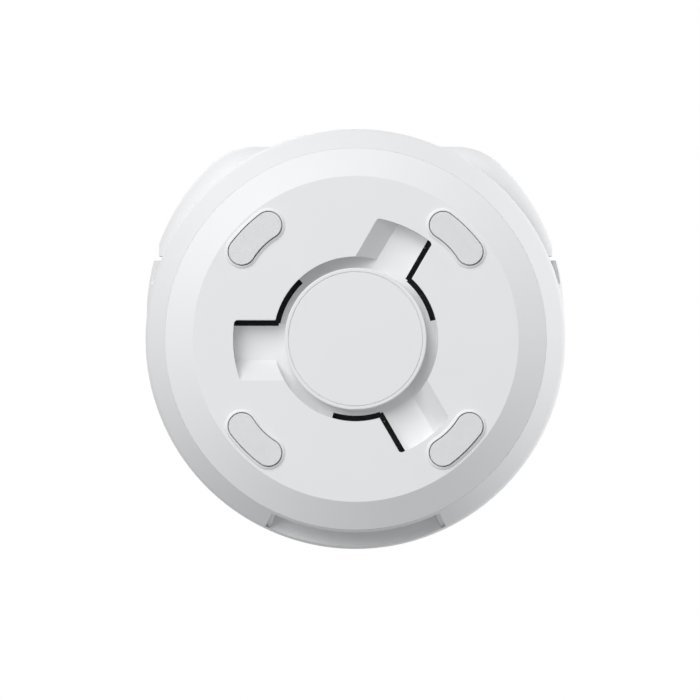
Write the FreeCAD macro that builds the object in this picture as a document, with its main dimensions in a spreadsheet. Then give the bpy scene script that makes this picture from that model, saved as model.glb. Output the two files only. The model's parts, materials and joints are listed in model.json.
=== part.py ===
"""Ceiling smoke alarm, modelled as a bench assembly of separate pieces.

Millimetres. +Z runs from the mounting side (rubber feet, z = 0) to the face that looks into the room.
The Z axis is the axis of the round base. The cover is as wide as the base, but its axis is moved
towards -Y, where a flat cuts it off and its end segment pulls out as the battery drawer.
"""
import FreeCAD, Part
import math
import os
import re
import Sketcher

SIZES = {
    # overall
    "body_radius": 50.0,
    "cover_offset": 5.8,
    "flat_setback": 9.7,
    "corner_radius": 15.7,
    "cover_height": 23.2,
    "lower_round": 6.8,
    "inner_round": 2.5,
    "upper_round": 9.0,
    "wall": 2.0,
    "fit_gap": 0.3,
    # base: plate, chamfer, rounded ring
    "foot_height": 1.0,
    "ring_width": 4.8,
    "chamfer_width": 6.7,
    "chamfer_rise": 4.2,
    "ring_rise": 10.6,
    "ring_slope": 60.0,
    "ring_edge": 0.8,
    "rim_height": 0.4,
    "rim_depth": 2.6,
    "rim_width": 1.9,
    "ledge_height": 1.6,
    "ring_inner_step": 2.0,
    "base_seam": 0.01,
    "slot_half_angle": 24.5,
    "slot_lip": 0.6,
    "slot_ceiling": 2.6,
    "slot_end_angle": 1.2,
    "slot_end_depth": 1.2,
    # bayonet socket for a wall bracket
    "socket_radius": 19.5,
    "lobe_radius": 29.0,
    "lobe_corner": 1.0,
    "lobe_slot_side": 4.5,
    "lobe_ramp_side": 9.8,
    "ramp_width": 4.8,
    "cup_depth": 5.4,
    "cup_wall": 1.6,
    "latch_slot_width": 1.3,
    "latch_slot_sweep": 33.0,
    "latch_slot_start": 13.6,
    "cap_radius": 16.8,
    "cap_line": 0.8,
    "cap_line_depth": 0.3,
    "cap_thickness": 1.6,
    "peg_radius": 1.2,
    "peg_circle": 10.0,
    # feet, with a housing screw under each
    "foot_margin": 4.6,
    "foot_cap": 3.1,
    "foot_half_angle": 7.5,
    "foot_waist_radius": 16.4,
    "foot_recess": 0.9,
    "foot_gap": 0.27,
    "plinth_reach": 1.0,
    "plinth_slope": 0.5,
    "plinth_rise": 0.35,
    "foot_edge": 0.15,
    "screw_radius": 1.5,
    "screw_head": 2.6,
    "screw_head_height": 1.7,
    "screw_gap": 0.1,
    "boss_radius": 4.4,
    # circuit board
    "board_clearance": 2.4,
    "board_thickness": 1.6,
    "board_margin": 7.5,
    # smoke inlet between base and cover
    "inlet_height": 3.6,
    "chassis_thickness": 1.6,
    "chassis_width": 15.0,
    "post_radius": 3.4,
    "rib_count": 18,
    "rib_length": 2.7,
    "rib_thickness": 0.9,
    "rib_margin": 8.0,
    "screen_thickness": 0.3,
    "throat_margin": 16.5,
    "cover_screw_margin": 13.8,
    "cover_screw_radius": 1.1,
    "cover_screw_head": 2.2,
    "cover_screw_length": 18.0,
    "cover_boss": 2.4,
    "rear_screw_angle": 60.0,
    "front_screw_setback": 3.85,
    # cover seam, parting line and grip notches
    "seam_rise": 7.0,
    "seam_gap": 0.2,
    "parting": 18.8,
    "parting_gap": 1.0,
    "drawer_step": 1.0,
    "notch_length": 5.6,
    "notch_depth": 2.6,
    "notch_height": 4.5,
    "grip_count": 4,
    "grip_pitch": 2.2,
    "grip_width": 1.1,
    "grip_depth": 0.7,
    "grip_length": 26.0,
    # battery drawer and cells
    "runner_inset": 11.5,
    "runner_width": 2.0,
    "runner_height": 4.0,
    "runner_rise": 5.2,
    "runner_end": 14.0,
    "rail_wall": 1.2,
    "cell_radius": 5.25,
    "cell_length": 43.3,
    "nub_radius": 1.9,
    "nub_length": 1.2,
    "cell_gap": 0.3,
    "tray_half_length": 28.0,
    "tray_wall": 1.5,
    "tray_floor": 1.0,
    "tray_front_gap": 2.1,
    "contact_thickness": 0.4,
    # test button
    "button_radius": 11.0,
    "button_thickness": 3.2,
    "button_proud": 0.6,
    "button_edge": 0.8,
    "stem_radius": 1.8,
    "switch_gap": 1.3,
    "collar_wall": 1.5,
    "collar_depth": 7.0,
    "bezel_width": 1.9,
    "bezel_thickness": 1.2,
    "spring_radius": 3.2,
    "spring_wire": 0.3,
    "spring_turns": 5,
    "clip_radius": 3.4,
    "clip_thickness": 1.0,
    # optical chamber
    "chamber_x": -18.5,
    "chamber_y": 0.0,
    "chamber_radius": 13.0,
    "chamber_floor": 1.6,
    "vane_count": 16,
    "vane_length": 4.6,
    "vane_thickness": 0.8,
    "vane_height": 10.0,
    "vane_circle": 9.0,
    "vane_tilt": 40.0,
    "diode_radius": 1.5,
    "diode_height": 5.0,
    # sounder
    "sounder_gap": 12.5,
    "sounder_y": 9.5,
    "sounder_radius": 11.0,
    "sounder_height": 10.0,
    "sounder_wall": 1.2,
    "disc_thickness": 0.5,
    "grille_slots": 5,
    "grille_pitch": 3.0,
    "grille_width": 1.4,
    "grille_radius": 8.0,
    "lead_radius": 0.5,
    "lead_spacing": 3.0,
    # parts on the board
    "switch_width": 6.0,
    "switch_height": 3.0,
    "lamp_x": 4.0,
    "lamp_y": 26.0,
    "lamp_radius": 1.4,
    "lamp_height": 1.2,
}

# Levels and radii that follow from the sizes.
DERIVED = {
    "plate_back": "foot_height + wall",
    "seam_level": "foot_height + chamfer_rise",
    "rim_level": "seam_level + rim_depth",
    "ring_top": "seam_level + ring_rise + rim_height",
    "cover_bottom": "ring_top + inlet_height",
    "floor_level": "cover_bottom + wall",
    "cover_top": "cover_bottom + cover_height",
    "ceiling_level": "cover_top - wall",
    "cup_floor": "foot_height + cup_depth",
    "cup_back": "cup_floor + cup_wall",
    "board_bottom": "cup_back + board_clearance",
    "board_top": "board_bottom + board_thickness",
    "chassis_bottom": "ring_top - chassis_thickness",
    "foot_top": "foot_height + foot_recess",
    "plinth_face": "foot_height - plinth_rise",
    "head_top": "foot_top + screw_gap + screw_head_height",
    "seam_radius": "body_radius - ring_width",
    "plate_radius": "seam_radius - chamfer_width",
    "foot_circle": "plate_radius - foot_margin",
    "throat_radius": "body_radius - throat_margin",
    "cover_screw_circle": "body_radius - cover_screw_margin",
    "front_screw_angle": "asin((parting - front_screw_setback) / cover_screw_circle) / 1 deg",
    "rib_outer": "body_radius - rib_margin",
    "flat_distance": "body_radius - flat_setback",
    "drawer_rear": "0 - parting - parting_gap",
    "drawer_side": "sqrt(body_radius ^ 2 - (drawer_rear + cover_offset) ^ 2) - drawer_step",
    "sounder_x": "button_radius + sounder_gap",
    "runner_x": "body_radius - runner_inset",
    "runner_bottom": "floor_level + runner_rise",
    "tray_front": "0 - cover_offset - flat_distance + wall + tray_front_gap",
    "tray_depth": "4 * cell_radius + 3 * cell_gap",
    "tray_bottom": "floor_level + fit_gap",
    "cell_level": "tray_bottom + tray_floor + cell_radius + cell_gap",
    "front_cell_y": "tray_front + cell_gap + cell_radius",
    "rear_cell_y": "front_cell_y + cell_gap + 2 * cell_radius",
    "collar_bottom": "ceiling_level - collar_depth",
    "collar_floor": "collar_bottom + collar_wall",
    "button_bottom": "cover_top - button_thickness",
    "chamber_top": "board_top + chamber_floor + vane_height",
    "sounder_bottom": "ceiling_level - sounder_height",
}

LOBE_ANGLES = (60, 180, 300)
FOOT_ANGLES = {"right_rear": 45, "left_rear": 135, "left_front": 225, "right_front": 315}

doc = FreeCAD.newDocument("smoke_alarm")
sheet = doc.addObject("Spreadsheet::Sheet", "sizes")
pieces = []


def fill_sheet():
    """Write each size into the sheet as plain text, with its name as the cell's alias."""
    for row, (name, size) in enumerate(SIZES.items(), 1):
        sheet.set(f"A{row}", name)
        sheet.set(f"B{row}", str(size))
        sheet.setAlias(f"B{row}", name)
    doc.recompute()


def sized(expression):
    """Spell out derived names and point the sizes at the sheet."""

    def spell(match):
        word = match.group(0)
        if word in DERIVED:
            return f"({sized(DERIVED[word])})"
        return f"sizes.{word}" if word in SIZES else word

    return re.sub(r"\b[a-z_]+\b", spell, str(expression))


def number(expression):
    return float(sheet.evalExpression(sized(expression)))


def bind(thing, prop, expression):
    thing.setExpression(prop, sized(expression))


def set_down(thing, x=0, y=0, z=0, turn=0):
    """Place a thing at x, y, z, turned about its own vertical edge or axis."""
    bind(thing, "Placement.Base.x", x)
    bind(thing, "Placement.Base.y", y)
    bind(thing, "Placement.Base.z", z)
    bind(thing, "Placement.Rotation.Angle", turn)
    return thing


def polar(radius, angle):
    return f"({radius}) * cos({angle})", f"({radius}) * sin({angle})"


def cylinder(radius, low, high, x=0, y=0, turn=0, sweep=360):
    thing = doc.addObject("Part::Cylinder", "cylinder")
    bind(thing, "Radius", radius)
    bind(thing, "Height", f"({high}) - ({low})")
    bind(thing, "Angle", sweep)
    return set_down(thing, x, y, low, turn)


def block(x_range, y_range, z_range, turn=0):
    """Box between three pairs of limits, then turned about the Z axis."""
    thing = doc.addObject("Part::Box", "block")
    for prop, (low, high) in zip(("Length", "Width", "Height"), (x_range, y_range, z_range)):
        bind(thing, prop, f"({high}) - ({low})")
    x, y = x_range[0], y_range[0]
    corner_x = f"({x}) * cos({turn}) - ({y}) * sin({turn})"
    corner_y = f"({x}) * sin({turn}) + ({y}) * cos({turn})"
    return set_down(thing, corner_x, corner_y, z_range[0], turn)


def centred_block(x, y, length, width, low, high):
    x_range = (f"{x} - ({length}) / 2", f"{x} + ({length}) / 2")
    y_range = (f"{y} - ({width}) / 2", f"{y} + ({width}) / 2")
    return block(x_range, y_range, (low, high))


def fuse(*things):
    thing = doc.addObject("Part::MultiFuse", "fuse")
    thing.Shapes = list(things)
    return thing


def cut(base, *tools):
    thing = doc.addObject("Part::Cut", "cut")
    thing.Base = base
    thing.Tool = tools[0] if len(tools) == 1 else fuse(*tools)
    return thing


def common(first, second):
    thing = doc.addObject("Part::MultiCommon", "common")
    thing.Shapes = [first, second]
    return thing


def group(*things):
    """Separate solids kept together as one piece, such as a set of screws."""
    thing = doc.addObject("Part::Compound", "group")
    thing.Links = list(things)
    return thing


def ring(outer, inner, low, high, x=0, y=0):
    return cut(cylinder(outer, low, high, x, y), cylinder(inner, low, high, x, y))


def piece(name, thing):
    """Name a finished sub-part, and list it for export."""
    thing.Label = name
    pieces.append(thing)


def plane_of(body, role):
    return next(item for item in body.Origin.OriginFeatures if item.Role == role)


def sketch_outline(body, plane_role, corners):
    """Closed sketch through its corners, each held by two dimensions that follow the sheet.

    A corner is (across, up), with a straight line to the next corner, or (across, up, centre, way),
    with an arc about that centre: anticlockwise when way is 1, clockwise when it is -1.
    """
    sketch = body.newObject("Sketcher::SketchObject", "outline")
    sketch.AttachmentSupport = [(plane_of(body, plane_role), "")]
    sketch.MapMode = "FlatFace"

    def hold(kind, index, vertex, expression):
        value = number(expression)
        held = sketch.addConstraint(Sketcher.Constraint(kind, -1, 1, index, vertex, value))
        sketch.setExpression(f"Constraints[{held}]", sized(expression))

    spots = [FreeCAD.Vector(number(corner[0]), number(corner[1]), 0) for corner in corners]
    ends = []
    for index, corner in enumerate(corners):
        start, end = spots[index], spots[(index + 1) % len(spots)]
        if len(corner) == 2:
            sketch.addGeometry(Part.LineSegment(start, end))
            ends.append((1, 2))
            continue
        middle, way = corner[2:]
        centre = FreeCAD.Vector(number(middle[0]), number(middle[1]), 0)
        first, last = (start, end) if way > 0 else (end, start)
        angles = [math.atan2(spot.y - centre.y, spot.x - centre.x) for spot in (first, last)]
        circle = Part.Circle(centre, FreeCAD.Vector(0, 0, 1), (start - centre).Length)
        sketch.addGeometry(Part.ArcOfCircle(circle, *angles))
        ends.append((1, 2) if way > 0 else (2, 1))
    for index, corner in enumerate(corners):
        follower = (index + 1) % len(corners)
        joint = Sketcher.Constraint("Coincident", index, ends[index][1], follower, ends[follower][0])
        sketch.addConstraint(joint)
        hold("DistanceX", index, ends[index][0], corner[0])
        hold("DistanceY", index, ends[index][0], corner[1])
        if len(corner) > 2:
            chord = spots[follower] - spots[index]
            upright = abs(chord.y) > abs(chord.x)
            hold("DistanceX" if upright else "DistanceY", index, 3, corner[2][0 if upright else 1])
    return sketch


def turned(corners, x=0, y=0):
    """Body of revolution about its own Z axis, from an outline of (radius, height) corners."""
    body = doc.addObject("PartDesign::Body", "turned")
    sketch = sketch_outline(body, "XZ_Plane", corners)
    feature = body.newObject("PartDesign::Revolution", "revolution")
    feature.Profile = sketch
    feature.ReferenceAxis = (sketch, ["V_Axis"])
    feature.Angle = 360
    return set_down(body, x, y)


def edges_at(feature, level):
    """Names of a feature's edges that lie flat at one height."""
    names = []
    for index, edge in enumerate(feature.Shape.Edges, 1):
        box = edge.BoundBox
        if abs(box.ZMin - level) < 1e-4 and abs(box.ZMax - level) < 1e-4:
            names.append(f"Edge{index}")
    return names


def rounded(body, feature, level, radius):
    """Fillet the edges of a feature that lie at one level."""
    doc.recompute()
    fillet = body.newObject("PartDesign::Fillet", "fillet")
    fillet.Base = (feature, edges_at(feature, number(level)))
    bind(fillet, "Radius", radius)
    doc.recompute()
    return fillet


def cover_hull(inset, low, high, lower_round, upper_round):
    """The cover's whole outer form: a disc cut off by a flat, its corners and edges rounded.

    Each corner arc lies inside the disc and touches both the disc and the flat, so its centre
    stays where it is when the outline is drawn further in.
    """
    disc, flat = f"(body_radius - ({inset}))", f"(flat_distance - ({inset}))"
    depth = "(flat_distance - corner_radius)"
    reach = "(body_radius - corner_radius)"
    across = f"sqrt({reach} ^ 2 - {depth} ^ 2)"
    touch_x, touch_y = f"{across} * {disc} / {reach}", f"{depth} * {disc} / {reach}"
    corner_y = f"0 - cover_offset - {depth}"
    flat_y = f"0 - cover_offset - {flat}"
    side_y = f"0 - cover_offset - {touch_y}"
    corners = [
        (f"0 - {across}", flat_y),
        (across, flat_y, (across, corner_y), 1),
        (touch_x, side_y, ("0", "0 - cover_offset"), 1),
        (f"0 - {touch_x}", side_y, (f"0 - {across}", corner_y), 1),
    ]
    body = doc.addObject("PartDesign::Body", "cover_hull")
    sketch = sketch_outline(body, "XY_Plane", corners)
    bind(sketch, "AttachmentOffset.Base.z", low)
    pad = body.newObject("PartDesign::Pad", "pad")
    pad.Profile = sketch
    bind(pad, "Length", f"({high}) - ({low})")
    lower = rounded(body, pad, low, lower_round)
    rounded(body, lower, high, upper_round)
    return body


def lobe_arm(angle, grow, low, high):
    """One lobe of the socket's plan, its outer corners rounded where its sides meet the outer arc."""
    corner = f"(lobe_corner + {grow})"
    reach = "(lobe_radius - lobe_corner)"
    ramp_y, slot_y = "(lobe_corner - lobe_ramp_side)", "(lobe_slot_side - lobe_corner)"
    ramp_x, slot_x = f"sqrt({reach} ^ 2 - {ramp_y} ^ 2)", f"sqrt({reach} ^ 2 - {slot_y} ^ 2)"
    stretch = f"(({reach} + {corner}) / {reach})"
    corners = [
        (0, f"{ramp_y} - {corner}"),
        (ramp_x, f"{ramp_y} - {corner}", (ramp_x, ramp_y), 1),
        (f"{ramp_x} * {stretch}", f"{ramp_y} * {stretch}", ("0", "0"), 1),
        (f"{slot_x} * {stretch}", f"{slot_y} * {stretch}", (slot_x, slot_y), 1),
        (slot_x, f"{slot_y} + {corner}"),
        (0, f"{slot_y} + {corner}"),
    ]
    body = doc.addObject("PartDesign::Body", "lobe")
    sketch = sketch_outline(body, "XY_Plane", corners)
    bind(sketch, "AttachmentOffset.Base.z", low)
    pad = body.newObject("PartDesign::Pad", "pad")
    pad.Profile = sketch
    bind(pad, "Length", f"({high}) - ({low})")
    set_down(body, turn=angle)
    return body


def lobed(grow, low, high):
    """The bayonet socket's plan: a round opening with three lobes."""
    arms = [lobe_arm(angle, grow, low, high) for angle in LOBE_ANGLES]
    return fuse(cylinder(f"socket_radius + {grow}", low, high), *arms)


def lobe_ramp(angle):
    """Slope at one side of a lobe, from the socket's floor out to the plate's face."""
    wedge = doc.addObject("Part::Wedge", "ramp")
    limits = {
        "Xmin": 0,
        "Xmax": "lobe_radius",
        "Ymin": 0,
        "Ymax": "ramp_width",
        "Zmin": "0 - cup_depth",
        "Zmax": 0,
        "X2min": 0,
        "X2max": "lobe_radius",
        "Z2min": 0,
        "Z2max": 0,
    }
    wedge.Z2min = wedge.Z2max = 0
    for prop, expression in limits.items():
        if prop not in ("Z2min", "Z2max"):
            bind(wedge, prop, expression)
    side = "(0 - lobe_ramp_side)"
    set_down(wedge, f"0 - {side} * sin({angle})", f"{side} * cos({angle})", "cup_floor", angle)
    return wedge


def latch_slot(angle):
    """L-shaped slot through the socket's floor: straight beside the lobe, then along the opening."""
    low, high = "cup_floor - wall", "cup_back + wall"
    straight = block(
        ("socket_radius - latch_slot_width", "lobe_radius - screw_gap"),
        ("lobe_slot_side - latch_slot_width - screw_gap", "lobe_slot_side - screw_gap"),
        (low, high),
        angle,
    )
    start = f"{angle} + latch_slot_start - 2"
    sweep = "latch_slot_sweep + 2"
    arc = cut(
        cylinder("socket_radius", low, high, turn=start, sweep=sweep),
        cylinder("socket_radius - latch_slot_width", low, high),
    )
    return [straight, arc]


def kidney(angle, grow, low, high, slope=0):
    """Kidney-shaped block: two round ends joined by an arc about the base's axis and a hollow arc.

    Every arc touches the next, and the hollow arc's centre stays where it is when the outline is
    drawn further out by grow. A slope draws the sides in towards the top.
    """
    end_x, end_y = "(foot_circle * cos(foot_half_angle))", "(foot_circle * sin(foot_half_angle))"
    reach = "(foot_waist_radius + foot_cap)"
    waist_x = f"({end_x} - sqrt({reach} ^ 2 - {end_y} ^ 2))"
    waist = f"(foot_waist_radius - {grow})"
    touch_x = f"({waist_x} + {waist} * ({end_x} - {waist_x}) / {reach})"
    touch_y = f"({waist} * {end_y} / {reach})"
    outer = f"(foot_circle + foot_cap + {grow})"
    outer_x, outer_y = polar(outer, "foot_half_angle")
    corners = [
        (outer_x, f"0 - {outer_y}", ("0", "0"), 1),
        (outer_x, outer_y, (end_x, end_y), 1),
        (touch_x, touch_y, (waist_x, "0"), -1),
        (touch_x, f"0 - {touch_y}", (end_x, f"0 - {end_y}"), 1),
    ]
    body = doc.addObject("PartDesign::Body", "kidney")
    sketch = sketch_outline(body, "XY_Plane", corners)
    bind(sketch, "AttachmentOffset.Base.z", low)
    pad = body.newObject("PartDesign::Pad", "pad")
    pad.Profile = sketch
    bind(pad, "Length", f"({high}) - ({low})")
    bind(pad, "TaperAngle", slope)
    set_down(body, turn=angle)
    return body, pad


def screw_spots(circle, angles):
    return [polar(circle, angle) for angle in angles]


def foot_spots():
    return screw_spots("foot_circle", FOOT_ANGLES.values())


def cover_screw_spots():
    angles = (
        "rear_screw_angle",
        "180 - rear_screw_angle",
        "180 + front_screw_angle",
        "360 - front_screw_angle",
    )
    return screw_spots("cover_screw_circle", angles)


def columns(spots, radius, low, high):
    return [cylinder(radius, low, high, x, y) for x, y in spots]


def base_plate():
    """Mounting plate with its chamfered edge, the bayonet cup, and a plinth and boss for each foot."""
    edge = "seam_radius - base_seam"
    plate = turned(
        [
            (0, "foot_height"),
            ("plate_radius", "foot_height"),
            (edge, "seam_level"),
            (edge, "rim_level"),
            (f"{edge} - rim_width", "rim_level"),
            ("plate_radius - screw_gap", "plate_back"),
            (0, "plate_back"),
        ]
    )
    cup = lobed("cup_wall", "foot_height", "cup_back")
    bosses = columns(foot_spots(), "boss_radius", "foot_height", "board_bottom")
    cavity = lobed("0", "foot_height - wall", "cup_floor")
    ramps = [lobe_ramp(angle) for angle in LOBE_ANGLES]
    ramps = common(fuse(*ramps), ring("lobe_radius + cup_wall / 2", "socket_radius", "0", "cup_back"))
    top, spread = "(plinth_reach - plinth_slope)", "atan(plinth_slope / plinth_rise)"
    plinths = [kidney(angle, top, "plinth_face", "foot_height", spread)[0] for angle in FOOT_ANGLES.values()]
    pockets = [kidney(angle, "foot_gap", "0", "foot_top")[0] for angle in FOOT_ANGLES.values()]
    heads = columns(foot_spots(), "screw_head + fit_gap", "0", "head_top")
    holes = columns(foot_spots(), "screw_radius + screw_gap", "0", "board_bottom + wall")
    pegs = screw_spots("peg_circle", (0, 120, 240))
    peg_holes = columns(pegs, "peg_radius + screw_gap", "0", "board_bottom")
    slots = [tool for angle in LOBE_ANGLES for tool in latch_slot(angle)]
    moulding = fuse(cut(fuse(plate, cup, *plinths, *bosses), cavity), ramps)
    piece("base_plate", cut(moulding, *pockets, *heads, *holes, *peg_holes, *slots))


def centre_cap():
    """Round cap in the socket: a crowned top with a fine line near its edge, on three pegs."""
    line_inner = "(cap_radius - cap_line - cap_line_depth)"
    shoulder = "(cap_radius - cap_line_depth)"
    skirt = "(cap_radius - cap_thickness)"
    shell = turned(
        [
            (0, "foot_height"),
            (line_inner, "foot_height"),
            (f"{line_inner} + cap_line_depth / 2", "foot_height + cap_line_depth"),
            (f"{line_inner} + cap_line_depth", "foot_height"),
            (shoulder, "foot_height", (shoulder, "foot_height + cap_line_depth"), 1),
            ("cap_radius", "foot_height + cap_line_depth"),
            ("cap_radius", "cup_floor"),
            (skirt, "cup_floor"),
            (skirt, "foot_height + cap_thickness"),
            (0, "foot_height + cap_thickness"),
        ]
    )
    spots = screw_spots("peg_circle", (0, 120, 240))
    pegs = columns(spots, "peg_radius", "foot_height + cap_thickness / 2", "cup_back")
    piece("centre_cap", fuse(shell, *pegs))


def feet():
    """Rubber pads that stand a little proud of the plate, their lower edges rounded."""
    for name, angle in FOOT_ANGLES.items():
        body, pad = kidney(angle, "0", "0", "foot_top")
        rounded(body, pad, "0", "foot_edge")
        piece(f"foot_{name}", body)


def base_ring():
    """Outer wall of the base: a steep cone, rounded into an upright rim, with a long slot at the rear."""
    seam = "(seam_radius + base_seam)"
    edge_radius = "(ring_edge / (1 - sin(ring_slope)))"

    def cone_level(radius):
        return f"(seam_level + ({radius} - {seam}) * tan(ring_slope))"

    cone_top = cone_level("body_radius - ring_edge")
    edge_top = f"({cone_top} + {edge_radius} * cos(ring_slope))"
    inner = "(seam_radius - fit_gap)"
    lip = "(seam_radius - rim_width)"
    wall = turned(
        [
            (seam, "seam_level"),
            ("body_radius - ring_edge", cone_top, (f"body_radius - {edge_radius}", edge_top), 1),
            ("body_radius", edge_top),
            ("body_radius", "seam_level + ring_rise"),
            ("body_radius - rim_height", "ring_top"),
            ("body_radius - ring_inner_step", "ring_top"),
            ("body_radius - ring_inner_step", "chassis_bottom"),
            (inner, "chassis_bottom"),
            (inner, "rim_level + ledge_height"),
            (lip, "rim_level + ledge_height"),
            (lip, "rim_level"),
            (seam, "rim_level"),
        ]
    )
    near, far = "seam_radius + slot_lip", "body_radius - slot_lip"
    top = "ring_top - slot_ceiling"
    sector = cylinder(far, "0", top, turn="90 - slot_half_angle", sweep="2 * slot_half_angle")
    slot = cut(sector, cylinder(near, "0", top))
    half = "(slot_half_angle + slot_end_angle)"
    skin = turned([(near, 0), (far, 0), *((r, f"{cone_level(r)} + slot_end_depth") for r in (far, near))])
    ends = common(cylinder(far, "0", top, turn=f"90 - {half}", sweep=f"2 * {half}"), skin)
    piece("base_ring", cut(wall, slot, ends))


def chassis():
    """Ring that clamps the board and carries the ribs of the smoke inlet."""
    floor = ring(
        "body_radius - ring_inner_step - screw_gap",
        "body_radius - ring_inner_step - chassis_width",
        "chassis_bottom",
        "ring_top",
    )
    posts = columns(foot_spots(), "post_radius", "board_top", "ring_top")
    spacers = columns(cover_screw_spots(), "cover_boss", "chassis_bottom", "cover_bottom")
    count = int(number("rib_count"))
    ribs = [
        block(
            ("rib_outer - rib_length", "rib_outer"),
            ("0 - rib_thickness / 2", "rib_thickness / 2"),
            ("chassis_bottom", "cover_bottom"),
            (index + 0.5) * 360 / count,
        )
        for index in range(count)
    ]
    pilots = columns(foot_spots(), "screw_radius + screw_gap", "board_bottom", "ring_top - screw_gap")
    clear = columns(cover_screw_spots(), "cover_screw_radius + screw_gap", "board_top", "floor_level")
    piece("chassis", cut(fuse(floor, *posts, *spacers, *ribs), *pilots, *clear))


def insect_screen():
    outer = "rib_outer - rib_length - screw_gap * 2"
    piece("insect_screen", ring(outer, f"{outer} - screen_thickness", "ring_top", "cover_bottom"))


def housing_screws():
    """One screw under each foot, up through the board into the chassis."""
    screws = []
    for x, y in foot_spots():
        head = cylinder("screw_head", "head_top - screw_head_height", "head_top", x, y)
        shank = cylinder("screw_radius", "head_top", "ring_top - screw_gap * 3", x, y)
        screws.append(fuse(head, shank))
    piece("housing_screws", group(*screws))


def cover_screws():
    """Four screws from under the chassis, through the lower shell, into the front cover."""
    screws = []
    for x, y in cover_screw_spots():
        head = cylinder("cover_screw_head", "chassis_bottom - 1.2", "chassis_bottom", x, y)
        shank = cylinder("cover_screw_radius", "chassis_bottom", "chassis_bottom + cover_screw_length", x, y)
        screws.append(fuse(head, shank))
    piece("cover_screws", group(*screws))


def beyond(y_low, y_high, low, high):
    """A region of the cover between two cross planes and two levels."""
    span = "(2 * body_radius)"
    return block((f"0 - {span}", span), (y_low, y_high), (low, high))


def cover_wall():
    outer = cover_hull("0", "cover_bottom", "cover_top", "lower_round", "upper_round")
    inner = cover_hull("wall", "floor_level", "ceiling_level", "inner_round", "upper_round - wall")
    return cut(outer, inner)


def lower_shell(shell):
    """Lower half of the fixed cover: inlet ceiling, drawer rails, grip notches and screw bosses."""
    seam = "cover_bottom + seam_rise"
    rear = common(shell, beyond("0 - parting", "2 * body_radius", "cover_bottom - wall", seam))
    notches, rails, channels = [], [], []
    rail_low, rail_high = "runner_bottom - fit_gap", "runner_bottom + runner_height + fit_gap"
    for turn in (0, 1):
        edge = "sqrt(body_radius ^ 2 - (parting - cover_offset) ^ 2)"
        ranges = [
            (f"{edge} - notch_depth", "body_radius + wall"),
            ("runner_x - fit_gap - rail_wall", "runner_x + runner_width + fit_gap + rail_wall"),
            ("runner_x - fit_gap", "runner_x + runner_width + fit_gap"),
        ]
        if turn:
            ranges = [(f"0 - ({high})", f"0 - ({low})") for low, high in ranges]
        notch_y = ("0 - parting - wall", "notch_length - parting")
        notches.append(block(ranges[0], notch_y, ("0", "cover_bottom + notch_height")))
        rail_y = ("0 - parting + fit_gap", "runner_end + fit_gap + rail_wall")
        rails.append(block(ranges[1], rail_y, ("floor_level - wall / 2", f"{rail_high} + rail_wall")))
        channels.append(block(ranges[2], ("0 - body_radius", "body_radius"), (rail_low, rail_high)))
    spots = cover_screw_spots()
    bosses = columns(spots, "cover_boss", "cover_bottom", f"{seam} - screw_gap")
    holes = columns(spots, "cover_screw_radius + screw_gap", "cover_bottom - wall", "ceiling_level")
    throat = cylinder("throat_radius", "cover_bottom - wall", "floor_level + wall")
    built = fuse(cut(rear, throat), *(cut(rail, *channels) for rail in rails), *bosses)
    piece("lower_shell", cut(built, *notches, *holes))


def front_cover(shell):
    """The face that looks into the room: button collar, bezel seat, sounder slots, lamp hole."""
    start = "cover_bottom + seam_rise + seam_gap"
    face = common(shell, beyond("0 - parting", "2 * body_radius", start, "cover_top + wall"))
    bore = "button_radius + fit_gap"
    collar = cylinder(f"{bore} + collar_wall", "collar_bottom", "ceiling_level + wall / 2")
    well = cylinder(bore, "collar_floor", "cover_top + wall")
    stem_hole = cylinder("stem_radius + fit_gap", "collar_bottom - wall", "cover_top")
    seat = cylinder(f"{bore} + bezel_width", "cover_top - bezel_thickness", "cover_top + wall")
    posts = columns(cover_screw_spots(), "cover_boss", start, "ceiling_level + wall / 2")
    pilots = columns(
        cover_screw_spots(),
        "cover_screw_radius + screw_gap",
        "cover_bottom",
        "chassis_bottom + cover_screw_length + fit_gap",
    )
    count = int(number("grille_slots"))
    slots = []
    for index in range(count):
        shift = f"({index - (count - 1) / 2} * grille_pitch)"
        half = f"sqrt(grille_radius ^ 2 - {shift} ^ 2)"
        x_range = (f"sounder_x - {half}", f"sounder_x + {half}")
        y = f"(sounder_y + {shift})"
        y_range = (f"{y} - grille_width / 2", f"{y} + grille_width / 2")
        slots.append(block(x_range, y_range, ("ceiling_level - wall", "cover_top + wall")))
        for end in x_range:
            slots.append(cylinder("grille_width / 2", "ceiling_level - wall", "cover_top + wall", end, y))
    lamp = cylinder("lamp_radius + screw_gap", "ceiling_level - wall", "cover_top + wall", "lamp_x", "lamp_y")
    built = fuse(face, collar, *posts)
    piece("front_cover", cut(built, well, stem_hole, seat, *pilots, *slots, lamp))


def battery_drawer(shell):
    """End segment of the cover, with two runners that slide in the lower shell's rails."""
    region = block(
        ("0 - drawer_side", "drawer_side"),
        ("0 - 2 * body_radius", "drawer_rear"),
        ("cover_bottom + fit_gap", "cover_top + wall"),
    )
    front = "0 - cover_offset - sqrt((body_radius - wall) ^ 2 - runner_x ^ 2)"
    levels = ("runner_bottom", "runner_bottom + runner_height")
    right = block(("runner_x", "runner_x + runner_width"), (front, "runner_end"), levels)
    left = block(("0 - runner_x - runner_width", "0 - runner_x"), (front, "runner_end"), levels)
    flat_y = "(0 - cover_offset - flat_distance)"
    middle = "((cover_bottom + cover_top) / 2)"
    count = int(number("grip_count"))
    grooves = []
    for index in range(count):
        level = f"({middle} + {index - (count - 1) / 2} * grip_pitch)"
        grooves.append(
            block(
                ("0 - grip_length / 2", "grip_length / 2"),
                (f"{flat_y} - wall", f"{flat_y} + grip_depth"),
                (f"{level} - grip_width / 2", f"{level} + grip_width / 2"),
            )
        )
    piece("battery_drawer", cut(fuse(common(shell, region), right, left), *grooves))


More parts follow.
